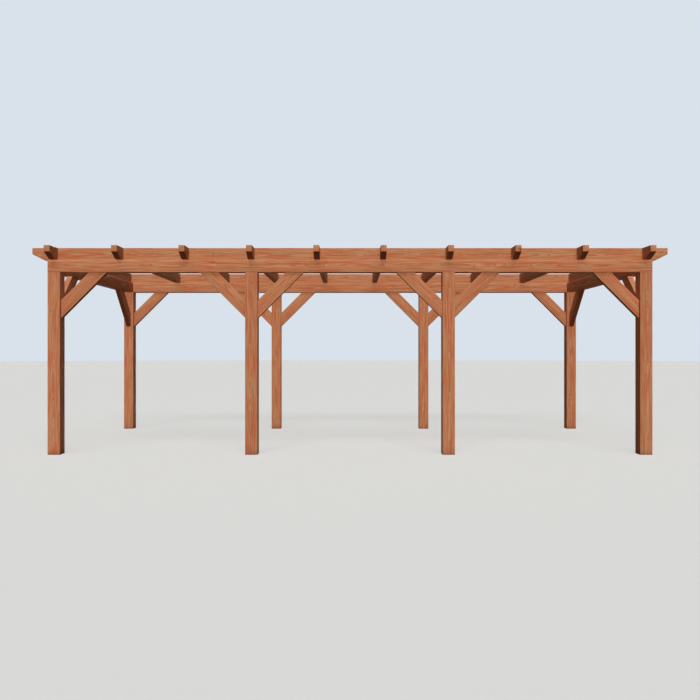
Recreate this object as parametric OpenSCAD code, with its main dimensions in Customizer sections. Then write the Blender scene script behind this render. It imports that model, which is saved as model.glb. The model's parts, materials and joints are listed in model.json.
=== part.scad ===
// Free-standing timber patio cover: two rows of posts, a ring of beams on top of them,
// knee braces, and an open roof of rafters that are half-lapped into two top rails.
// Millimetres. +X runs along the front from left to right, +Y from front to back, +Z up.
// The origin is on the ground, in the middle of the plan.

/* [Frame] */
// Number of bays along the front
bays = 3; // [1:1:5]
// Length of one bay, from post centre to post centre
bay_length = 3048; // [2200:1:3600]
// Depth of the frame, from post centre to post centre
frame_depth = 3670; // [2400:1:4800]
// Height of the posts, from the ground to the underside of the beams
post_height = 2820; // [2100:10:3600]

/* [Timbers] */
// Side of the square posts
post_side = 190; // [160:5:240]
// Width of the beams, across the grain
beam_width = 190; // [160:5:240]
// Height of the beams
beam_height = 190; // [160:5:300]
// Thickness of the rafters and of the top rails
rafter_thickness = 89; // [60:1:120]
// Height of the rafters and of the top rails
rafter_height = 190; // [140:5:240]
// Thickness of the knee braces
brace_thickness = 89; // [60:1:120]
// Width of the knee braces, across the grain
brace_width = 197; // [120:1:220]
// Width of the eased corner that runs along every timber
arris = 4; // [1:0.5:8]

/* [Roof] */
// Rafters in each bay, counting one of the two over its posts
rafters_per_bay = 3; // [2:1:5]
// How far a tail runs past the outer face of the posts
tail_length = 257; // [200:5:400]
// Height of the square end of a tail
tail_end_height = 97; // [60:1:120]
// Length of the sloping cut under a tail
tail_slope_length = 188; // [100:1:240]

/* [Braces] */
// Reach of a brace down the post and along the beam, to its lower edge
brace_reach = 708; // [500:1:900]

/* [Joinery] */
// Thickness of the tenons
tenon_thickness = 38; // [25:1:50]
// Length of the tenons
tenon_length = 45; // [25:1:60]
// Shoulder at the two narrow edges of a tenon
tenon_shoulder = 30; // [15:1:45]
// Gap between a tenon or a rafter and the sides of the cut that it sits in
joint_clearance = 1; // [0.5:0.5:2]

/* [Hidden] */
posts_in_row = bays + 1;
rafter_count = bays * rafters_per_bay + 1;
braces_in_row = 2 * bays;
rafter_pitch = bay_length / rafters_per_bay;
row_length = bays * bay_length;
first_post_x = -row_length / 2;
front_y = -frame_depth / 2;
back_y = frame_depth / 2;
beam_top = post_height + beam_height;
lap_depth = rafter_height / 2;
lap_width = rafter_thickness + 2 * joint_clearance;
top_rail_length = row_length + post_side + 2 * tail_length;
rafter_length = frame_depth + post_side + 2 * tail_length;
side_beam_length = frame_depth - beam_width;
// Reach of a brace down the post and along the beam, to its upper edge
brace_upper_reach = brace_reach - brace_width * sqrt(2);
// How far a cut starts outside the face that it goes into, and a tenon inside its own timber
overcut = 5;

wood = "#b37652";

function numbered(name, count) = [for (i = [1:count]) str(name, "_", i)];

function post_x(i) = first_post_x + (i - 1) * bay_length;
function rafter_x(i) = first_post_x + (i - 1) * rafter_pitch;
// Post that a brace of a row springs from, and the way it turns: 0 to the right, 180 to the left
function brace_post(i) = floor(i / 2) + 1;
function brace_turn(i) = i % 2 == 1 ? 0 : 180;

// ---- Stock timber ----

// Rectangle with its four corners eased
module eased_section(width, height) {
    w = width / 2;
    h = height / 2;
    polygon([
        [arris - w, -h], [w - arris, -h], [w, arris - h], [w, h - arris],
        [w - arris, h], [arris - w, h], [-w, h - arris], [-w, arris - h]
    ]);
}

// Timber that lies along X, centred on it, with its underside at z = 0
module lying_timber(length, width, height) {
    translate([-length / 2, 0, height / 2])
        rotate([90, 0, 90])
            linear_extrude(length)
                eased_section(width, height);
}

// Timber that stands on z = 0
module standing_timber(length, side) {
    linear_extrude(length)
        eased_section(side, side);
}

// Box centred in X and Y that runs from z = low to z = high
module block(size_x, size_y, low, high) {
    translate([-size_x / 2, -size_y / 2, low])
        cube([size_x, size_y, high - low]);
}

// ---- Braces ----

// A brace is made for a corner at the origin: the post's face rises along Z, the beam's
// underside runs along X, and the brace stands between them, centred in Y.

module brace_bar() {
    middle = (brace_reach + brace_upper_reach) / 4;
    translate([middle, 0, -middle])
        rotate([0, -45, 0])
            translate([0, 0, -brace_width / 2])
                lying_timber(2 * brace_reach, brace_thickness, brace_width);
}

// Tenon at the brace's foot, which goes into the post. Grown by a clearance, it is the mortise.
module foot_tenon(clearance) {
    low = -brace_reach + tenon_shoulder - clearance;
    high = -brace_upper_reach - tenon_shoulder + clearance;
    reach_in = tenon_length + clearance;
    translate([(overcut - reach_in) / 2, 0, 0])
        block(reach_in + overcut, tenon_thickness + 2 * clearance, low, high);
}

// The tenon at the brace's head, which goes into the beam, is the same one mirrored
module head_tenon(clearance) {
    mirror([1, 0, 1]) foot_tenon(clearance);
}

// Brace that rises to the right, cut square to the post and to the beam
module brace() {
    color(wood) {
        intersection() {
            brace_bar();
            translate([brace_reach, 0, 0])
                block(2 * brace_reach, 2 * brace_thickness, -2 * brace_reach, 0);
        }
        foot_tenon(0);
        head_tenon(0);
    }
}

// Moves a brace from its own corner to a post, turned about the post
module at_post(x, y, turn) {
    translate([x, y, post_height])
        rotate([0, 0, turn])
            translate([post_side / 2, 0, 0])
                children();
}

module at_row_brace(i, y) {
    at_post(post_x(brace_post(i)), y, brace_turn(i)) children();
}

// A side brace runs from the front post backwards, or from the back post forwards
module at_side_brace(x, y) {
    at_post(x, y, y < 0 ? 90 : 270) children();
}

// ---- Posts ----

module post_tenon(clearance) {
    across = post_side - 2 * tenon_shoulder + 2 * clearance;
    block(across, tenon_thickness + 2 * clearance, -overcut, tenon_length + clearance);
}

module post(i, y) {
    x = post_x(i);
    color(wood) difference() {
        translate([x, y, 0]) {
            standing_timber(post_height, post_side);
            translate([0, 0, post_height]) post_tenon(0);
        }
        for (b = [1:braces_in_row])
            if (brace_post(b) == i) at_row_brace(b, y) foot_tenon(joint_clearance);
        if (i == 1 || i == posts_in_row) at_side_brace(x, y) foot_tenon(joint_clearance);
    }
}

// ---- Beams ----

// Tenon at the end of a side beam that lies along X, on the side of +X
module side_beam_tenon(clearance) {
    height = beam_height - 2 * tenon_shoulder + 2 * clearance;
    translate([side_beam_length / 2 - overcut, 0, beam_height / 2])
        rotate([0, 90, 0])
            block(height, tenon_thickness + 2 * clearance, 0, tenon_length + clearance + overcut);
}

// Turns a side beam from the X axis to its place. The +X end becomes the back end.
module at_side(x) {
    translate([x, 0, post_height])
        rotate([0, 0, 90])
            children();
}

module side_beam_tenons(clearance) {
    side_beam_tenon(clearance);
    mirror([1, 0, 0]) side_beam_tenon(clearance);
}

// Beam along the front or the back. It runs over all the posts of its row.
module row_beam(y) {
    color(wood) difference() {
        translate([0, y, post_height])
            lying_timber(row_length + post_side, beam_width, beam_height);
        for (i = [1:posts_in_row])
            translate([post_x(i), y, post_height]) post_tenon(joint_clearance);
        for (b = [1:braces_in_row])
            at_row_brace(b, y) head_tenon(joint_clearance);
        for (x = [first_post_x, -first_post_x])
            at_side(x) side_beam_tenons(joint_clearance);
    }
}

// Beam along a side, tenoned between the front beam and the back beam
module side_beam(x) {
    color(wood) difference() {
        at_side(x) {
            lying_timber(side_beam_length, beam_width, beam_height);
            side_beam_tenons(0);
        }
        for (y = [front_y, back_y])
            at_side_brace(x, y) head_tenon(joint_clearance);
    }
}

// ---- Roof ----

// Wedge that is sawn off under a tail, in the X-Z plane. Its slope starts at the origin on the
// timber's underside, and it runs on past both ends of the slope.
module tail_offcut() {
    slope = (rafter_height - tail_end_height) / tail_slope_length;
    past_end = tail_slope_length + overcut;
    rotate([90, 0, 0])
        translate([0, 0, -rafter_thickness])
            linear_extrude(2 * rafter_thickness)
                polygon([
                    [-overcut, -overcut * slope],
                    [past_end, past_end * slope],
                    [past_end, -overcut * slope]
                ]);
}

// Rail or rafter along X with its underside at z = 0 and a sloping cut under each tail
module tailed_timber(length) {
    difference() {
        lying_timber(length, rafter_thickness, rafter_height);
        for (side = [0, 1])
            mirror([side, 0, 0])
                translate([length / 2 - tail_slope_length, 0, 0])
                    tail_offcut();
    }
}

// Top rail along the front or the back, notched from above for every rafter
module top_rail(y) {
    color(wood) translate([0, y, beam_top]) difference() {
        tailed_timber(top_rail_length);
        for (i = [1:rafter_count])
            translate([rafter_x(i), 0, 0])
                block(lap_width, 2 * rafter_thickness, rafter_height - lap_depth, rafter_height + overcut);
    }
}

// Rafter from front to back, notched from below over both top rails
module rafter(i) {
    color(wood) translate([rafter_x(i), 0, beam_top]) rotate([0, 0, 90]) difference() {
        tailed_timber(rafter_length);
        for (y = [front_y, back_y])
            translate([y, 0, 0])
                block(lap_width, 2 * rafter_thickness, -overcut, rafter_height - lap_depth);
    }
}

// ---- Assembly ----

for (i = [1:posts_in_row]) {
    post(i, front_y);
    post(i, back_y);
}
row_beam(front_y);  // front_beam
row_beam(back_y);  // back_beam
side_beam(first_post_x);  // left_beam
side_beam(-first_post_x);  // right_beam
for (i = [1:braces_in_row]) {
    at_row_brace(i, front_y) brace();
    at_row_brace(i, back_y) brace();
}
at_side_brace(first_post_x, front_y) brace();  // left_front_brace
at_side_brace(first_post_x, back_y) brace();  // left_back_brace
at_side_brace(-first_post_x, front_y) brace();  // right_front_brace
at_side_brace(-first_post_x, back_y) brace();  // right_back_brace
top_rail(front_y);  // front_top_rail
top_rail(back_y);  // back_top_rail
for (i = [1:rafter_count])
    rafter(i);
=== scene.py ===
import json
import math
import random

import bpy
from mathutils import Matrix, Vector

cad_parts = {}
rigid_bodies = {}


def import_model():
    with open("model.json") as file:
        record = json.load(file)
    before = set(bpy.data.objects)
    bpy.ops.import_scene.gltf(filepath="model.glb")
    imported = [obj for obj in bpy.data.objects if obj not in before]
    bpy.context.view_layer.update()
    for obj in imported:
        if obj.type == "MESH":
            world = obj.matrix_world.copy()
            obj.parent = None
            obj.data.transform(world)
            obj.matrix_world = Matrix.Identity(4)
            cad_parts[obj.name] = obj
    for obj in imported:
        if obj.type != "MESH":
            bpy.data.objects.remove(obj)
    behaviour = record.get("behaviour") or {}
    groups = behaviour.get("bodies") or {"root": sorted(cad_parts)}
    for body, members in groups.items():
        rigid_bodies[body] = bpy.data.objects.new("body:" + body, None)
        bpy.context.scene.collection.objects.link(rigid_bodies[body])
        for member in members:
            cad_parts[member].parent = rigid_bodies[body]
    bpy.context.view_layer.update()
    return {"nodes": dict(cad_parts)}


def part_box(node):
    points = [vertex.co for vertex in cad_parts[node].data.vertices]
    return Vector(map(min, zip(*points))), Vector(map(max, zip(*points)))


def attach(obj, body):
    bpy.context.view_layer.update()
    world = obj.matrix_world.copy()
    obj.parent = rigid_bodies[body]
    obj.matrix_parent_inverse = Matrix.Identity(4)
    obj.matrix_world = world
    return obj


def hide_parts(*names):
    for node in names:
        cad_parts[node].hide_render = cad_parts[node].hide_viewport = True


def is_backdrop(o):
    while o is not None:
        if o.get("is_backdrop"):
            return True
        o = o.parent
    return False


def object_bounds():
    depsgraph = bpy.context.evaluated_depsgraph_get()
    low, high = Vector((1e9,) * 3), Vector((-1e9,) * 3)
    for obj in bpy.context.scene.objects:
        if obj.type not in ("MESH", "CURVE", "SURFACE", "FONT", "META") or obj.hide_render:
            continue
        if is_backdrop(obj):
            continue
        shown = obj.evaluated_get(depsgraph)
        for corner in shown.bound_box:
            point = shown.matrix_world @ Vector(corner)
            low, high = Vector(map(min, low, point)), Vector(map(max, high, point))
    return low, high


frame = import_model()


# ---- Posts ----
# Eight square posts of planed redwood, sawn with the heart of the log inside them, so that their faces
# have opened in a few long drying checks. They stand on the ground, and each one carries the beams on
# a tenon that doesn't show. Their arrises are eased by hand and were knocked here and there.

drift_waves = ((0.65, 1.0), (0.35, 0.41))


def drift(rng, amount, wavelength):
    """A slow change along a timber, such as the wander of a crack. Each of its waves has a share of the
    amount and a stretch of the wavelength, and starts anywhere."""
    waves = [
        (share * amount, 2 * math.pi / (stretch * wavelength), rng.uniform(0, 2 * math.pi))
        for share, stretch in drift_waves
    ]
    return lambda x: sum(size * math.sin(rate * x + start) for size, rate, start in waves)


arris_radius = 0.0045
arris_wander = 0.16
arris_wavelength = 0.6
knocks_per_metre = 1.3
knock_span = 0.47
knock_depth = (0.0015, 0.0045)
knock_reach = 0.028
knock_steps = (-1, -0.4, 0, 0.4, 1)


def worn_arris(rng, length):
    """The radius of one eased corner along its timber, and the places that its knocks need drawn."""
    wave = drift(rng, arris_wander * arris_radius, arris_wavelength)
    knocks = [
        (rng.uniform(-knock_span, knock_span) * length, rng.uniform(*knock_depth))
        for _ in range(round(knocks_per_metre * length))
    ]

    def radius(x):
        dents = sum(depth * max(0.0, 1 - abs(x - at) / knock_reach) for at, depth in knocks)
        return arris_radius + wave(x) + dents

    return radius, [at + step * knock_reach for at, _ in knocks for step in knock_steps]


check_wander = 0.004
check_wavelength = 0.9
check_taper = 2.5


def drying_check(rng, zone, face, offset, span, depth, width):
    """A crack that opened along the grain of one face as the timber dried. Its middle lies anywhere in
    the zone, a length about the middle of the timber. Offset is where it lies across the face, from -1
    to 1, and span, depth and width are ranges in metres."""
    middle = rng.uniform(-0.5, 0.5) * zone
    half_span = rng.uniform(*span) / 2
    return {
        "face": face,
        "offset": offset,
        "start": middle - half_span,
        "end": middle + half_span,
        "depth": rng.uniform(*depth),
        "width": rng.uniform(*width),
        "path": drift(rng, check_wander, check_wavelength),
    }


def opening(check, x):
    """How far a check is open at x, from 0 past its ends to 1 in its middle."""
    along = (2 * x - check["start"] - check["end"]) / (check["end"] - check["start"])
    return max(0.0, 1 - abs(along) ** check_taper)


arris_steps = 4
check_lip = 0.0012


def section_ring(x, half_y, low, high, radii, checks, split):
    """The outline of a timber's section at x, from its right side up, over the top, down its left side
    and back underneath. Each point is (y, z, how deep it lies in a check, whether a planed face and not
    a check or an arris starts there). The second list says where in it the middles of both sides are,
    which are drawn if the timber is split there by laps."""
    middle, half_z = (low + high) / 2, (high - low) / 2
    faces = (
        ("right", (half_y, middle), (0, 1), half_z),
        ("top", (0, high), (-1, 0), half_y),
        ("left", (-half_y, middle), (0, -1), half_z),
        ("bottom", (0, low), (1, 0), half_y),
    )
    ring, middles = [], []
    for (face, (y, z), (dy, dz), half), radius in zip(faces, radii):
        marks = []
        for check in (c for c in checks if c["face"] == face):
            here = check["offset"] * half + check["path"](x)
            lip = check_lip / 2 + check["width"] / 2 * opening(check, x)
            sunk = check["depth"] * opening(check, x)
            marks += [(here - lip, 0.0, False), (here, sunk, False), (here + lip, 0.0, True)]
        if split and face in ("right", "left"):
            marks.append((0.0, 0.0, True))
        for along, sunk, planed in sorted(marks):
            if split and (along, sunk) == (0.0, 0.0):
                middles.append(len(ring))
            ring.append((y + dy * along - dz * sunk, z + dz * along + dy * sunk, sunk, planed))
        for step in range(arris_steps + 1):
            turn = math.pi / 2 * step / arris_steps
            along = half - radius + radius * math.sin(turn)
            sunk = radius - radius * math.cos(turn)
            planed = step == arris_steps
            ring.append((y + dy * along - dz * sunk, z + dz * along + dy * sunk, 0.0, planed))
    return ring, middles


station_spacing = 0.085
closest_stations = 0.006


def stations(length, exact, wanted):
    """The places along a timber where its section is drawn: both ends, each exact place, those wanted
    places that aren't next to another one, and as many evenly between them as keep them close."""
    places = sorted({-length / 2, length / 2, *exact})
    for mark in sorted(wanted):
        if abs(mark) < length / 2 and min(abs(mark - place) for place in places) > closest_stations:
            places.append(mark)
    places.sort()
    filled = places[:1]
    for here, there in zip(places, places[1:]):
        steps = math.ceil((there - here) / station_spacing)
        filled += [here + (there - here) * step / steps for step in range(1, steps + 1)]
    return filled


def skin(rings, planed, rounded, notched, middles, lap_side):
    """The faces between a timber's sections, and which of them are shaded smooth. Rounded and notched
    say for each span whether it lies in a rounded end or in a lap, where only one half of the outline
    is left, with a sawn floor along it and a wall at both ends."""
    around = len(rings[0])
    faces = [rings[0][::-1], rings[-1]]
    smooth = [False, False]
    if any(notched):
        right, left = middles
        upper = list(range(right, left))
        lower = list(range(left, around)) + list(range(right))
        kept, sawn = (lower, upper) if lap_side == "above" else (upper, lower)
    was_notched = False
    for here, there, at_end, in_lap in zip(rings, rings[1:], rounded, notched):
        drawn = kept if in_lap else range(around)
        for j in drawn:
            k = (j + 1) % around
            faces.append([here[j], here[k], there[k], there[j]])
            smooth.append(at_end or not planed[j])
        if in_lap:
            floor = [here[right], here[left], there[left], there[right]]
            faces.append(floor if lap_side == "above" else floor[::-1])
            smooth.append(False)
        if in_lap != was_notched:
            wall = [here[j] for j in sawn] + [here[(sawn[-1] + 1) % around]]
            faces.append(wall if in_lap else wall[::-1])
            smooth.append(False)
        was_notched = in_lap
    return faces, smooth


end_grain_gain = 1.4
sharp_edge = math.radians(50)


def skinned_mesh(name, points, dark, faces, smooth):
    """The mesh of a timber, without the points that its laps took away. It paints shade into the checks,
    darker at each point the deeper it lies, and says how much end grain there is on each face."""
    used = sorted({corner for face in faces for corner in face})
    number = {old: new for new, old in enumerate(used)}
    faces = [[number[old] for old in face] for face in faces]
    mesh = bpy.data.meshes.new(name)
    mesh.from_pydata([points[old] for old in used], [], faces)
    mesh.polygons.foreach_set("use_smooth", smooth)
    mesh.set_sharp_from_angle(angle=sharp_edge)
    in_check = mesh.attributes.new("in_check", "FLOAT", "POINT").data
    in_check.foreach_set("value", [dark[old] for old in used])
    end_grain = mesh.attributes.new("end_grain", "FLOAT", "FACE").data
    end_grain.foreach_set(
        "value", [min(1.0, end_grain_gain * abs(face.normal.x)) for face in mesh.polygons]
    )
    return mesh


end_rounding = 0.003
end_steps = (1, 0.3)
least_radius = 0.001
check_steps = (0, 0.04, 0.12, 0.88, 0.96, 1)
# How deep in a check a point must lie for the shade painted there to be at its darkest.
fully_shaded_depth = 0.004


def timber_mesh(name, rng, length, thickness, height, checks=(), round_ends=(True, True),
                mitre=0.0, tail=None, laps=(), lap_side=None):
    """A planed timber that lies along X, with its thickness along Y and its height along Z. tail is the
    length of the slope under both ends and the height that it leaves, laps are the (start, end) of each
    notch down to the middle of its height, and mitre is how much shorter each end gets per height."""
    end = length / 2
    arrises = [worn_arris(rng, length) for _ in range(4)]
    exact = [edge for lap in laps for edge in lap]
    for sign, rounded in zip((-1, 1), round_ends):
        if rounded:
            exact += [sign * (end - step * end_rounding) for step in end_steps]
    if tail:
        slope_length, tail_height = tail
        exact += [slope_length - end, end - slope_length]
    wanted = [mark for _, marks in arrises for mark in marks]
    wanted += [
        check["start"] + share * (check["end"] - check["start"])
        for check in checks for share in check_steps
    ]
    places = stations(length, exact, wanted)

    points, dark, rings = [], [], []
    for x in places:
        low, high = -height / 2, height / 2
        if tail:
            rise = (height - tail_height) / slope_length
            low += rise * max(0.0, abs(x) - (end - slope_length))
        from_end = end - abs(x)
        inset = 0.0
        if round_ends[x > 0] and from_end < end_rounding:
            inset = end_rounding - math.sqrt(end_rounding**2 - (end_rounding - from_end) ** 2)
        radii = [max(radius(x) - inset, least_radius) for radius, _ in arrises]
        ring, middles = section_ring(
            x, thickness / 2 - inset, low + inset, high - inset, radii, checks, bool(laps)
        )
        rings.append([len(points) + i for i in range(len(ring))])
        points += [(x * (1 - mitre * z / end), y, z) for y, z, _, _ in ring]
        # Painted shade in the checks: each point is darker the deeper it lies in one.
        dark += [min(1.0, sunk / fully_shaded_depth) for _, _, sunk, _ in ring]

    span_middles = [(x + next_x) / 2 for x, next_x in zip(places, places[1:])]
    rounded = [round_ends[x > 0] and end - abs(x) < end_rounding for x in span_middles]
    notched = [any(start < x < stop for start, stop in laps) for x in span_middles]
    planed = [flat for _, _, _, flat in ring]
    faces, smooth = skin(rings, planed, rounded, notched, middles, lap_side)
    return skinned_mesh(name, points, dark, faces, smooth)


log_length = 60


def place_in_log(rng, across, up):
    """Where in the log a timber was sawn: anywhere along it, and as far across and up from the log's
    middle as the two ranges allow."""
    return (rng.uniform(0, log_length), rng.uniform(*across), rng.uniform(*up))


def timber_place(centre, along, across):
    """The place of a timber from its centre, its grain's direction and its thickness's direction."""
    turned = Matrix((along, across, along.cross(across))).transposed().to_4x4()
    return Matrix.Translation(centre) @ turned


def raise_timber(node, rng, mesh, place, finish, heart):
    """Puts a timber where it belongs. Heart is its place in the log, and its tone, from -1 to 1, is how
    much paler or darker than its neighbours it is."""
    piece = bpy.data.objects.new(mesh.name, mesh)
    bpy.context.scene.collection.objects.link(piece)
    piece.matrix_world = place
    piece["heart"] = heart
    piece["tone"] = rng.uniform(-1, 1)
    mesh.materials.append(finish)
    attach(piece, "root")
    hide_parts(node)


def add(tree, kind, feeds=(), **settings):
    """Adds a shader node. Each feed is a link or a plain value for an input, by its name or number."""
    made = tree.nodes.new("ShaderNode" + kind)
    for name, value in settings.items():
        setattr(made, name, value)
    for name, value in dict(feeds).items():
        if isinstance(value, bpy.types.NodeSocket):
            tree.links.new(value, made.inputs[name])
        else:
            made.inputs[name].default_value = value
    return made


def maths(tree, operation, *values, clamp=False):
    """Arithmetic on one, two or three values."""
    return add(tree, "Math", dict(enumerate(values)), operation=operation, use_clamp=clamp).outputs[0]


def vectors(tree, operation, *values):
    """Arithmetic on vectors."""
    return add(tree, "VectorMath", dict(enumerate(values)), operation=operation).outputs[0]


def stacked(tree, start, *layers):
    """Adds layers to a start. Each layer is a value and how much it counts."""
    for value, amount in layers:
        start = maths(tree, "MULTIPLY_ADD", value, amount, start)
    return start


def noise(tree, place, stretch, detail, output="Fac"):
    """Soft random pattern. Stretch is how many changes it has per metre along, across and up."""
    scaled = vectors(tree, "MULTIPLY", place, stretch)
    return add(tree, "TexNoise", {"Vector": scaled, "Scale": 1.0, "Detail": detail}).outputs[output]


def ease(tree, value, start, stop):
    """Rises smoothly from 0 at start to 1 at stop."""
    feeds = {"Value": value, "From Min": start, "From Max": stop}
    return add(tree, "MapRange", feeds, interpolation_type="SMOOTHSTEP").outputs["Result"]


def blend(tree, amount, first, second, mode="MIX"):
    """Mixes two colours."""
    made = add(tree, "Mix", {"Factor": amount}, data_type="RGBA", blend_type=mode)
    for socket, value in zip((made.inputs[6], made.inputs[7]), (first, second)):
        if isinstance(value, bpy.types.NodeSocket):
            tree.links.new(value, socket)
        else:
            socket.default_value = value
    return made.outputs[2]


def coated(tree, colour, mask, strength, coat):
    """Lays a coat over a colour where the mask is, as thickly as its strength says."""
    return blend(tree, maths(tree, "MULTIPLY", mask, strength), colour, coat)


def effect(name, inputs, outputs):
    """Starts a shader node group: an effect that each finish places with values of its own."""
    tree = bpy.data.node_groups.new(name, "ShaderNodeTree")
    for label, value in inputs.items():
        kind = "NodeSocketFloat" if isinstance(value, float) else "NodeSocketVector"
        tree.interface.new_socket(label, in_out="INPUT", socket_type=kind).default_value = value
    for label in outputs:
        kind = "NodeSocketVector" if label == "Place" else "NodeSocketFloat"
        tree.interface.new_socket(label, in_out="OUTPUT", socket_type=kind)
    return tree, tree.nodes.new("NodeGroupInput").outputs, tree.nodes.new("NodeGroupOutput").inputs


def log_coordinates():
    """Where a point was in the log: along it, and across and up from its middle, which sways a little."""
    sways_per_metre, widest_sway = 0.9, 0.05
    tree, _, out = effect("log coordinates", {}, ["Place"])
    local = add(tree, "TexCoord").outputs["Object"]
    heart = add(tree, "Attribute", attribute_type="OBJECT", attribute_name="heart").outputs["Vector"]
    place = vectors(tree, "ADD", local, heart)
    sway = noise(tree, place, (sways_per_metre, 0, 0), 1.0, "Color")
    sway = vectors(tree, "SUBTRACT", sway, (0.5, 0.5, 0.5))
    sway = vectors(tree, "MULTIPLY", sway, (0, widest_sway, widest_sway))
    tree.links.new(vectors(tree, "ADD", place, sway), out["Place"])
    return tree


def tight_knots():
    """Small sound knots, which run out from the middle of the log, and the grain bent round them. They
    are counted and measured at a fixed distance from the middle."""
    measured_at, solid_share, grain_bent_within = 0.1, 0.6, 0.055
    tree, given, out = effect(
        "tight knots", {"Place": (0, 0, 0), "Per metre": 2.6, "Size": 0.012}, ["Knot", "Bend"]
    )
    outwards = vectors(tree, "NORMALIZE", vectors(tree, "MULTIPLY", given["Place"], (0, 1, 1)))
    outwards = vectors(tree, "MULTIPLY", outwards, (0, measured_at, measured_at))
    along = vectors(tree, "MULTIPLY", given["Place"], (1, 0, 0))
    cells = add(
        tree, "TexVoronoi", {"Vector": vectors(tree, "ADD", along, outwards), "Scale": given["Per metre"]}
    )
    away = maths(tree, "DIVIDE", cells.outputs["Distance"], given["Per metre"])
    inner = maths(tree, "MULTIPLY", given["Size"], solid_share)
    tree.links.new(ease(tree, away, given["Size"], inner), out["Knot"])
    tree.links.new(ease(tree, away, grain_bent_within, 0.0), out["Bend"])
    return tree


def growth_rings():
    """The log's year rings. Late wood is the dark narrow end of each year, zones are the wider runs of
    redder and paler years, and lines are the fine grain that follows the years."""
    ring_wander, pushed_by_knot, uneven_years = 0.035, 0.02, 2.2
    late_wood_grows, late_wood_stops = (0.35, 0.93), (1.0, 0.96)
    patterns = (("Zone", 70.0, 1.6, 2.0), ("Line", 800.0, 2.2, 1.0))
    tree, given, out = effect(
        "growth rings",
        {"Place": (0, 0, 0), "Bend": 0.0, "Ring width": 0.005, "Taper": 0.006},
        ["Late wood", "Zone", "Line"],
    )
    along = add(tree, "SeparateXYZ", {0: given["Place"]}).outputs["X"]
    across = vectors(tree, "MULTIPLY", given["Place"], (0, 1, 1))
    radius = add(tree, "VectorMath", {0: across}, operation="LENGTH").outputs["Value"]
    radius = stacked(tree, radius, (along, given["Taper"]))
    radius = stacked(tree, radius, (noise(tree, given["Place"], (1.1, 7, 7), 2.0), ring_wander))
    radius = stacked(tree, radius, (given["Bend"], pushed_by_knot))

    years = maths(tree, "DIVIDE", radius, given["Ring width"])
    uneven = add(tree, "TexNoise", {"W": years, "Scale": 0.35, "Detail": 1.0}, noise_dimensions="1D")
    years = stacked(tree, years, (uneven.outputs["Fac"], uneven_years))
    season = maths(tree, "FRACT", years)
    late = maths(
        tree, "MULTIPLY", ease(tree, season, *late_wood_grows), ease(tree, season, *late_wood_stops)
    )
    tree.links.new(late, out["Late wood"])
    for label, per_metre_outwards, per_metre_along, detail in patterns:
        outwards = maths(tree, "MULTIPLY", radius, per_metre_outwards)
        stretched = maths(tree, "MULTIPLY", along, per_metre_along)
        drawn = add(tree, "CombineXYZ", {"X": outwards, "Y": stretched}).outputs[0]
        pattern = add(tree, "TexNoise", {"Vector": drawn, "Scale": 1.0, "Detail": detail})
        tree.links.new(pattern.outputs["Fac"], out[label])
    return tree


def wood_fibre():
    """The fine fibre that runs along the grain, the streaks between a few years, and short dark flecks
    of resin, each with its changes per metre."""
    fibres, flecks, streaks = (9, 700, 700), (34, 1300, 1300), (2.4, 60, 60)
    resin_shows = (0.62, 0.74)
    tree, given, out = effect("wood fibre", {"Place": (0, 0, 0)}, ["Fibre", "Streak", "Fleck"])
    tree.links.new(noise(tree, given["Place"], fibres, 3.0), out["Fibre"])
    resin = noise(tree, given["Place"], flecks, 1.0)
    tree.links.new(ease(tree, resin, *resin_shows), out["Fleck"])
    tree.links.new(noise(tree, given["Place"], streaks, 4.0), out["Streak"])
    return tree


def end_cracks():
    """Fine cracks across the end grain, which spread from the middle of the log as its ends dry. Some
    spread farther than others, and each one narrows towards its tip."""
    crookedness, longest, widest, full_share = 0.16, 0.15, 0.0011, 0.4
    tree, given, out = effect("end cracks", {"Place": (0, 0, 0), "Spokes": 15.0}, ["Crack"])
    split = add(tree, "SeparateXYZ", {0: given["Place"]}).outputs
    wobble = maths(tree, "SUBTRACT", noise(tree, given["Place"], (0, 60, 60), 2.0), 0.5)
    turn = maths(tree, "ARCTAN2", split["Z"], split["Y"])
    turn = stacked(tree, turn, (wobble, crookedness))
    spokes_per_radian = maths(tree, "DIVIDE", given["Spokes"], 2 * math.pi)
    spoke = maths(tree, "MULTIPLY", turn, spokes_per_radian)
    number = maths(tree, "ROUND", spoke)
    luck = add(tree, "TexWhiteNoise", {"W": number}, noise_dimensions="1D").outputs["Value"]
    across = vectors(tree, "MULTIPLY", given["Place"], (0, 1, 1))
    radius = add(tree, "VectorMath", {0: across}, operation="LENGTH").outputs["Value"]
    off_line = maths(tree, "ABSOLUTE", maths(tree, "SUBTRACT", spoke, number))
    off_line = maths(tree, "MULTIPLY", off_line, maths(tree, "DIVIDE", radius, spokes_per_radian))
    tip = maths(tree, "MULTIPLY", luck, longest)
    width = ease(tree, radius, tip, maths(tree, "MULTIPLY", tip, full_share))
    width = maths(tree, "MULTIPLY", width, widest)
    dark_within = maths(tree, "MULTIPLY", width, full_share)
    tree.links.new(ease(tree, off_line, width, dark_within), out["Crack"])
    return tree


def rubbed_arris():
    """A mask for the wood near the eased corners that run along a timber, broken up along them."""
    rubbed_through, least_reach, reach_range = 0.002, -0.4, 2.4
    tree, given, out = effect("rubbed arris", {"Half section": (0, 0.1, 0.1), "Reach": 0.012}, ["Rubbed"])
    local = add(tree, "TexCoord").outputs["Object"]
    inside = vectors(tree, "SUBTRACT", given["Half section"], vectors(tree, "ABSOLUTE", local))
    split = add(tree, "SeparateXYZ", {0: inside}).outputs
    from_corner = maths(tree, "MAXIMUM", split["Y"], split["Z"])
    uneven = stacked(tree, least_reach, (noise(tree, local, (11, 60, 60), 2.0), reach_range))
    reach = maths(tree, "MULTIPLY", given["Reach"], uneven)
    tree.links.new(ease(tree, from_corner, reach, rubbed_through), out["Rubbed"])
    return tree


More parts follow.
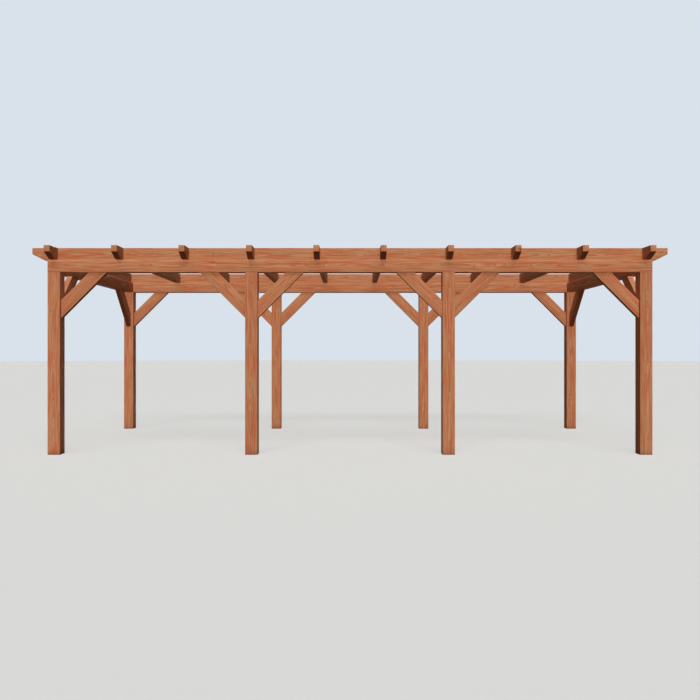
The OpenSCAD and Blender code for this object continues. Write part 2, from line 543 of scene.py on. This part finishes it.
def weather():
    """Dust that lies on the faces that look up, and the damp dirt that splashes up from the ground, both
    in patches."""
    level_enough, dusty_patches = (0.55, 0.95), (0.25, 0.7)
    least_splash, splash_range = -0.5, 2.0
    tree, given, out = effect("weather", {"Splash height": 0.3}, ["Dust", "Splash"])
    surface = add(tree, "NewGeometry").outputs
    up = add(tree, "SeparateXYZ", {0: surface["Normal"]}).outputs["Z"]
    patches = noise(tree, surface["Position"], (6, 6, 6), 4.0)
    dust = maths(tree, "MULTIPLY", ease(tree, up, *level_enough), ease(tree, patches, *dusty_patches))
    height = add(tree, "SeparateXYZ", {0: surface["Position"]}).outputs["Z"]
    uneven = stacked(tree, least_splash, (patches, splash_range))
    splash = ease(tree, height, maths(tree, "MULTIPLY", given["Splash height"], uneven), 0.0)
    tree.links.new(dust, out["Dust"])
    tree.links.new(splash, out["Splash"])
    return tree


# The streaks and the zones come to usual_red on average, and red_contrast is how sharply they part red
# wood from tan. A strength is how much of a coat shows where it lies.
tan_wood = (0.476, 0.247, 0.122, 1)
red_wood = (0.460, 0.125, 0.054, 1)
red_contrast = 3.8
usual_red = 0.575
zone_share = 0.15
late_wood = (0.300, 0.085, 0.035, 1)
late_wood_strength = 0.5
fleck_brown = (0.230, 0.075, 0.034, 1)
fleck_strength = 0.5
sawn_end = (0.520, 0.215, 0.105, 1)
sawn_end_strength = 0.5
knot_wood = (0.200, 0.066, 0.030, 1)
rubbed_wood = (0.600, 0.310, 0.170, 1)
rubbed_strength = 0.25
dust_grey = (0.400, 0.310, 0.240, 1)
dust_strength = 0.3
splash_brown = (0.200, 0.110, 0.065, 1)
splash_strength = 0.35
# The colour of the end cracks, drawn in as fine lines, and of the shade painted inside the checks.
crack_line_and_check_shade = (0.110, 0.045, 0.025, 1)
end_cracks_show = (0.8, 1.0)
tone_change = 0.045
matt_roughness = 0.6
matt_specular = 0.03
grain_depth = 0.0006

effects = {
    "log": log_coordinates(), "knots": tight_knots(), "rings": growth_rings(), "fibre": wood_fibre(),
    "ends": end_cracks(), "arris": rubbed_arris(), "weather": weather(),
}


def oiled_redwood(name, half_thickness, half_height, ring_width, redness=0.5, painted_shade_scale=1.0):
    """Planed redwood under a matt oil, for timbers of one section. Redness is how much of it is red
    rather than tan, and the last number scales the whole colour: 1 leaves it as it is, and less paints
    shade over it."""
    finish = bpy.data.materials.new(name)
    finish.use_nodes = True
    tree = finish.node_tree
    tree.nodes.clear()
    place = add(tree, "Group", node_tree=effects["log"]).outputs["Place"]
    knot = add(tree, "Group", {"Place": place}, node_tree=effects["knots"]).outputs
    rings = add(
        tree, "Group", {"Place": place, "Bend": knot["Bend"], "Ring width": ring_width},
        node_tree=effects["rings"],
    ).outputs
    fibre = add(tree, "Group", {"Place": place}, node_tree=effects["fibre"]).outputs
    arris = add(
        tree, "Group", {"Half section": (0, half_thickness, half_height)}, node_tree=effects["arris"]
    ).outputs
    outdoors = add(tree, "Group", node_tree=effects["weather"]).outputs
    end_grain = add(tree, "Attribute", attribute_name="end_grain").outputs["Fac"]
    # The shade painted into the checks, stored on the mesh's points.
    in_check = add(tree, "Attribute", attribute_name="in_check").outputs["Fac"]
    cracks = add(tree, "Group", {"Place": place}, node_tree=effects["ends"]).outputs["Crack"]
    cracks = maths(tree, "MULTIPLY", cracks, ease(tree, end_grain, *end_cracks_show))
    tone = add(tree, "Attribute", attribute_type="OBJECT", attribute_name="tone").outputs["Fac"]

    red = stacked(tree, fibre["Streak"], (rings["Zone"], zone_share))
    red = maths(tree, "MULTIPLY_ADD", red, red_contrast, redness - red_contrast * usual_red, clamp=True)
    colour = blend(tree, red, tan_wood, red_wood)
    colour = coated(tree, colour, rings["Late wood"], late_wood_strength, late_wood)
    colour = coated(tree, colour, fibre["Fleck"], fleck_strength, fleck_brown)
    colour = coated(tree, colour, end_grain, sawn_end_strength, sawn_end)
    colour = blend(tree, knot["Knot"], colour, knot_wood)
    colour = coated(tree, colour, arris["Rubbed"], rubbed_strength, rubbed_wood)
    lines = maths(tree, "ADD", rings["Line"], fibre["Fibre"])
    fine_grain = {"Value": lines, "From Min": 0.7, "From Max": 1.3, "To Min": 0.86, "To Max": 1.14}
    shade = add(tree, "MapRange", fine_grain).outputs["Result"]
    # Each timber's random tone, and any shade painted over the whole finish, scale the grain's colour.
    shade = maths(tree, "MULTIPLY", shade, stacked(tree, painted_shade_scale, (tone, tone_change)))
    grey = add(tree, "CombineXYZ", {"X": shade, "Y": shade, "Z": shade}).outputs[0]
    colour = blend(tree, 1.0, colour, grey, "MULTIPLY")
    colour = coated(tree, colour, outdoors["Dust"], dust_strength, dust_grey)
    colour = coated(tree, colour, outdoors["Splash"], splash_strength, splash_brown)
    # The end cracks are drawn in as dark lines, and shade is painted inside the checks, darker with depth.
    colour = blend(tree, maths(tree, "MAXIMUM", cracks, in_check), colour, crack_line_and_check_shade)

    rough = stacked(
        tree, matt_roughness,
        (fibre["Fibre"], 0.16), (end_grain, 0.12), (outdoors["Dust"], 0.1), (arris["Rubbed"], -0.08),
    )
    height = stacked(
        tree, fibre["Fibre"],
        (rings["Late wood"], 0.3), (rings["Line"], 0.5), (fibre["Fleck"], -0.5), (knot["Knot"], 0.6),
        (cracks, -3.0),
    )
    bump = add(tree, "Bump", {"Height": height, "Strength": 1.0, "Distance": grain_depth}).outputs[0]

    wood = add(
        tree, "BsdfPrincipled",
        {"Base Color": colour, "Roughness": rough, "Normal": bump, "Specular IOR Level": matt_specular},
    )
    output = tree.nodes.new("ShaderNodeOutputMaterial")
    tree.links.new(wood.outputs[0], output.inputs["Surface"])
    return finish


beam_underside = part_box("front_beam")[0].z
post_nodes = sorted(node for node in frame["nodes"] if "_post_" in node)
low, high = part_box(post_nodes[0])
post_side = high.x - low.x
post_ring_width = 0.0055
post_finish = oiled_redwood("post_redwood", post_side / 2, post_side / 2, post_ring_width)
post_checks = {"span": (0.5, 1.9), "depth": (0.008, 0.02), "width": (0.0008, 0.0026)}
post_check_offset = (-0.55, 0.55)
checks_on_a_face = (0, 1, 1)
heart_inside = (-0.022, 0.022)

for node in post_nodes:
    rng = random.Random(node)
    low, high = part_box(node)
    checks = [
        drying_check(rng, beam_underside, face, rng.uniform(*post_check_offset), **post_checks)
        for face in ("right", "top", "left", "bottom") for _ in range(rng.choice(checks_on_a_face))
    ]
    mesh = timber_mesh(
        node + "_timber", rng, beam_underside, post_side, post_side, checks, round_ends=(True, False)
    )
    centre = Vector(((low.x + high.x) / 2, (low.y + high.y) / 2, beam_underside / 2))
    place = timber_place(centre, Vector((0, 0, 1)), Vector((0, 1, 0)))
    raise_timber(node, rng, mesh, place, post_finish, place_in_log(rng, heart_inside, heart_inside))


# ---- Beams ----
# A ring of four redwood beams of the posts' own section, flush with the posts' faces. The front and back
# beams run over their four posts in one length, and the side beams are tenoned between them.

beam_low, beam_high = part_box("front_beam")
beam_width, beam_height = beam_high.y - beam_low.y, beam_high.z - beam_low.z
beam_ring_width = 0.006
beam_finish = oiled_redwood("beam_redwood", beam_width / 2, beam_height / 2, beam_ring_width)
beam_checks = {"span": (0.7, 2.4), "depth": (0.008, 0.02), "width": (0.0008, 0.0026)}
beam_check_offsets = ((-0.6, -0.2), (0.15, 0.6))
beam_check_chance = 0.2
beam_check_chance_per_metre = 0.08


def boxed_beam(node, centre, length, along, across, round_ends):
    """A beam with a few long checks in its sides and its underside. A longer beam has more of them."""
    rng = random.Random(node)
    checks = [
        drying_check(rng, length, face, offset, **beam_checks)
        for face in ("right", "left", "bottom")
        for offset in [rng.uniform(*part) for part in beam_check_offsets]
        if rng.random() < beam_check_chance + beam_check_chance_per_metre * length
    ]
    mesh = timber_mesh(node + "_timber", rng, length, beam_width, beam_height, checks, round_ends)
    place = timber_place(centre, along, across)
    raise_timber(node, rng, mesh, place, beam_finish, place_in_log(rng, heart_inside, heart_inside))


for node in ("front_beam", "back_beam"):
    low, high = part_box(node)
    boxed_beam(node, (low + high) / 2, high.x - low.x, Vector((1, 0, 0)), Vector((0, 1, 0)), (True, True))

between_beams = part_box("back_beam")[0].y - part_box("front_beam")[1].y
for node in ("left_beam", "right_beam"):
    low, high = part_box(node)
    boxed_beam(node, (low + high) / 2, between_beams, Vector((0, 1, 0)), Vector((-1, 0, 0)), (False, False))


# ---- Knee braces ----
# Sixteen redwood braces at 45 degrees, thinner than the posts and centred on them, which stop the frame
# from leaning. Each one is cut to lie flat against its post and under its beam, on short hidden tenons.

brace_width = 0.197
brace_low, brace_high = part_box("front_brace_1")
brace_thickness = brace_high.y - brace_low.y
brace_reach = beam_underside - brace_low.z
brace_middle = (brace_reach - brace_width / math.sqrt(2)) / 2
brace_length = 2 * math.sqrt(2) * brace_middle
brace_ring_width = 0.004
brace_finish = oiled_redwood("brace_redwood", brace_thickness / 2, brace_width / 2, brace_ring_width)
brace_checks = {"span": (0.15, 0.4), "depth": (0.004, 0.01), "width": (0.0006, 0.0016)}
brace_check_zone = 0.3
brace_check_offset = (-0.5, 0.5)
brace_check_chance = 0.4
brace_beside_heart = (0.06, 0.11)
brace_about_heart = (-0.05, 0.05)


def knee_brace(node, post, turn):
    """A brace that rises from its post in the direction of turn, in degrees from +X."""
    rng = random.Random(node)
    checks = [
        drying_check(rng, brace_check_zone, face, rng.uniform(*brace_check_offset), **brace_checks)
        for face in ("right", "left") if rng.random() < brace_check_chance
    ]
    mesh = timber_mesh(
        node + "_timber", rng, brace_length, brace_thickness, brace_width, checks, (False, False), mitre=1.0
    )
    low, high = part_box(post)
    corner = Matrix.Translation(((low.x + high.x) / 2, (low.y + high.y) / 2, beam_underside))
    from_post = Vector((post_side / 2 + brace_middle, 0, -brace_middle))
    rising = timber_place(from_post, Vector((1, 0, 1)).normalized(), Vector((0, 1, 0)))
    place = corner @ Matrix.Rotation(math.radians(turn), 4, "Z") @ rising
    heart = place_in_log(rng, brace_beside_heart, brace_about_heart)
    raise_timber(node, rng, mesh, place, brace_finish, heart)


for row in ("front", "back"):
    for number in range(1, 7):
        post = f"{row}_post_{number // 2 + 1}"
        knee_brace(f"{row}_brace_{number}", post, 0 if number % 2 else 180)
for side, corner_post in (("left", 1), ("right", 4)):
    knee_brace(f"{side}_front_brace", f"front_post_{corner_post}", 90)
    knee_brace(f"{side}_back_brace", f"back_post_{corner_post}", 270)


# ---- Top rails and rafters ----
# Two redwood rails lie along the front and the back beam, and ten rafters cross them at the same level.
# The rails are notched from above and the rafters from below, each to half of its height, so that they
# lock together without a bolt. All have tails with a square end above a long sloping cut.

tail_slope = 0.188
tail_end = 0.097
lap_clearance = 0.001
rail_low, rail_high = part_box("front_top_rail")
rail_thickness, rail_height = rail_high.y - rail_low.y, rail_high.z - rail_low.z
lap_half = rail_thickness / 2 + lap_clearance
roof_ring_width = 0.0045
# Painted shade: the roof's redwood is a little darker, against the light the beams' tops bounce up.
roof_finish = oiled_redwood(
    "roof_redwood", rail_thickness / 2, rail_height / 2, roof_ring_width, redness=0.42, painted_shade_scale=0.95
)
roof_checks = {"span": (0.3, 1.2), "depth": (0.004, 0.012), "width": (0.0006, 0.0018)}
roof_check_offsets = ((-0.6, -0.25), (0.25, 0.6))
roof_check_chance = 0.25
roof_beside_heart = (0.05, 0.11)
roof_about_heart = (-0.06, 0.06)


def roof_timber(node, centre, length, along, across, lap_side, crossings):
    """A rail or a rafter with a notch at each crossing, given from the middle of its length."""
    rng = random.Random(node)
    laps = [(at - lap_half, at + lap_half) for at in crossings]
    checks = [
        drying_check(rng, length, face, offset, **roof_checks)
        for face in ("right", "left")
        for offset in [rng.uniform(*part) for part in roof_check_offsets]
        if rng.random() < roof_check_chance
    ]
    mesh = timber_mesh(
        node + "_timber", rng, length, rail_thickness, rail_height, checks,
        tail=(tail_slope, tail_end), laps=laps, lap_side=lap_side,
    )
    place = timber_place(centre, along, across)
    side = rng.choice((-1, 1))
    heart = place_in_log(rng, [side * away for away in roof_beside_heart], roof_about_heart)
    raise_timber(node, rng, mesh, place, roof_finish, heart)


def middle_of(node):
    """The middle of a CAD node's box."""
    low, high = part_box(node)
    return (low + high) / 2


rail_nodes = ("front_top_rail", "back_top_rail")
rafter_nodes = sorted(
    (node for node in frame["nodes"] if node.startswith("rafter_")), key=lambda node: middle_of(node).x
)
for node in rail_nodes:
    crossings = [middle_of(rafter).x for rafter in rafter_nodes]
    roof_timber(node, middle_of(node), rail_high.x - rail_low.x, Vector((1, 0, 0)), Vector((0, 1, 0)),
                "above", crossings)
for node in rafter_nodes:
    low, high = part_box(node)
    crossings = [middle_of(rail).y for rail in rail_nodes]
    roof_timber(node, middle_of(node), high.y - low.y, Vector((0, 1, 0)), Vector((-1, 0, 0)),
                "below", crossings)


# ---- Studio ----
# A plain pale floor that runs out to the horizon under a pale sky. Four wide soft lamps side by side,
# high in front, cast the shadows, and fills that cast none lift the front, the back and both ends, so
# that only the undersides stay dark. None of it belongs to the patio cover.

floor_reach = 116
rim_step = 3
floor_pale = (0.563, 0.568, 0.557, 1)
floor_shade = (0.074, 0.047, 0.036, 1)
sky_pale = (0.694, 0.761, 0.831, 1)
sky_shade = (0.038, 0.033, 0.030, 1)


def seen_directly(tree):
    """1 where the camera sees a thing itself, in a reflection or through glass, and 0 where the thing
    only lights its surroundings."""
    rays = add(tree, "LightPath").outputs
    seen = maths(tree, "MAXIMUM", rays["Is Camera Ray"], rays["Is Glossy Ray"])
    return maths(tree, "MAXIMUM", seen, rays["Is Transmission Ray"])


floor_mesh = bpy.data.meshes.new("floor")
rim = [math.radians(angle) for angle in range(0, 360, rim_step)]
floor_mesh.from_pydata(
    [(floor_reach * math.cos(a), floor_reach * math.sin(a), 0) for a in rim], [], [range(len(rim))]
)
floor = bpy.data.objects.new("floor", floor_mesh)
bpy.context.scene.collection.objects.link(floor)
floor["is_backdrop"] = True
floor_finish = bpy.data.materials.new("floor_paint")
floor_finish.use_nodes = True
tree = floor_finish.node_tree
tree.nodes.clear()
paint = add(tree, "BsdfDiffuse", {"Color": blend(tree, seen_directly(tree), floor_shade, floor_pale)})
tree.links.new(paint.outputs[0], tree.nodes.new("ShaderNodeOutputMaterial").inputs["Surface"])
floor_mesh.materials.append(floor_finish)

world = bpy.data.worlds.new("sky")
world.use_nodes = True
bpy.context.scene.world = world
tree = world.node_tree
tree.nodes.clear()
sky = add(tree, "Background", {"Color": blend(tree, seen_directly(tree), sky_shade, sky_pale)})
tree.links.new(sky.outputs[0], tree.nodes.new("ShaderNodeOutputWorld").inputs["Surface"])


def sun(name, strength, height, turn, spread, shadows):
    """A far lamp at a height above the horizon, turned about the patio cover from straight in front,
    all in degrees. At strength 1 a face that looks at it shows its colour as it is."""
    lamp = bpy.data.lights.new(name, "SUN")
    lamp.energy = math.pi * strength
    lamp.angle = math.radians(spread)
    lamp.use_shadow = shadows
    stand = bpy.data.objects.new(name, lamp)
    stand.rotation_euler = (math.radians(90 - height), 0, math.radians(turn))
    stand.visible_glossy = shadows
    bpy.context.scene.collection.objects.link(stand)
    return stand


# Each row of lamps: its name, its strength in all, its height, its turns, whether it casts shadows.
lamp_spread = 24
lamps = (
    ("key", 0.34, 46, (-24, -12, 12, 24), True),
    ("front_fill", 1.06, 46, (3,), False),
    ("back_fill", 0.75, 14, (180,), False),
)
for name, strength, height, turns, shadows in lamps:
    for turn in turns:
        sun(name, strength / len(turns), height, turn, lamp_spread, shadows)

# The end fills light only the end frames and the four long timbers, whose middles lie at x = 0, because
# the posts and the rafters between the ends show their sides in shade.
end_fill = 0.45
end_fill_height = 20
end_frame_from = 3.8
middle_tolerance = 0.01
timbers = [piece for piece in bpy.data.objects if piece.name.endswith("_timber")]
for side in (-1, 1):
    end_frame = bpy.data.collections.new("end_frame")
    for piece in timbers:
        middle = side * piece.matrix_world.translation.x
        if middle > end_frame_from or abs(middle) < middle_tolerance:
            end_frame.objects.link(piece)
    stand = sun("end_fill", end_fill, end_fill_height, turn=90 * side, spread=0, shadows=False)
    stand.light_linking.receiver_collection = end_frame

bpy.context.scene.view_settings.view_transform = "Standard"


# ---- Camera ----
# A level view of the whole front from eye height, square to the middle of the front row.

camera_height = 1.595
camera_distance = 10.833
camera_lens = 36.12
camera_sensor = 36
camera_rise = 0.0022
camera_sees_to = 500

camera = bpy.data.objects.new("camera", bpy.data.cameras.new("camera"))
camera.location = (0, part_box("front_post_1")[0].y - camera_distance, camera_height)
camera.rotation_euler = (math.pi / 2, 0, 0)
camera.data.lens = camera_lens
camera.data.sensor_width = camera_sensor
camera.data.shift_y = camera_rise
camera.data.clip_end = camera_sees_to
bpy.context.scene.collection.objects.link(camera)
bpy.context.scene.camera = camera

low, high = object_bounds()
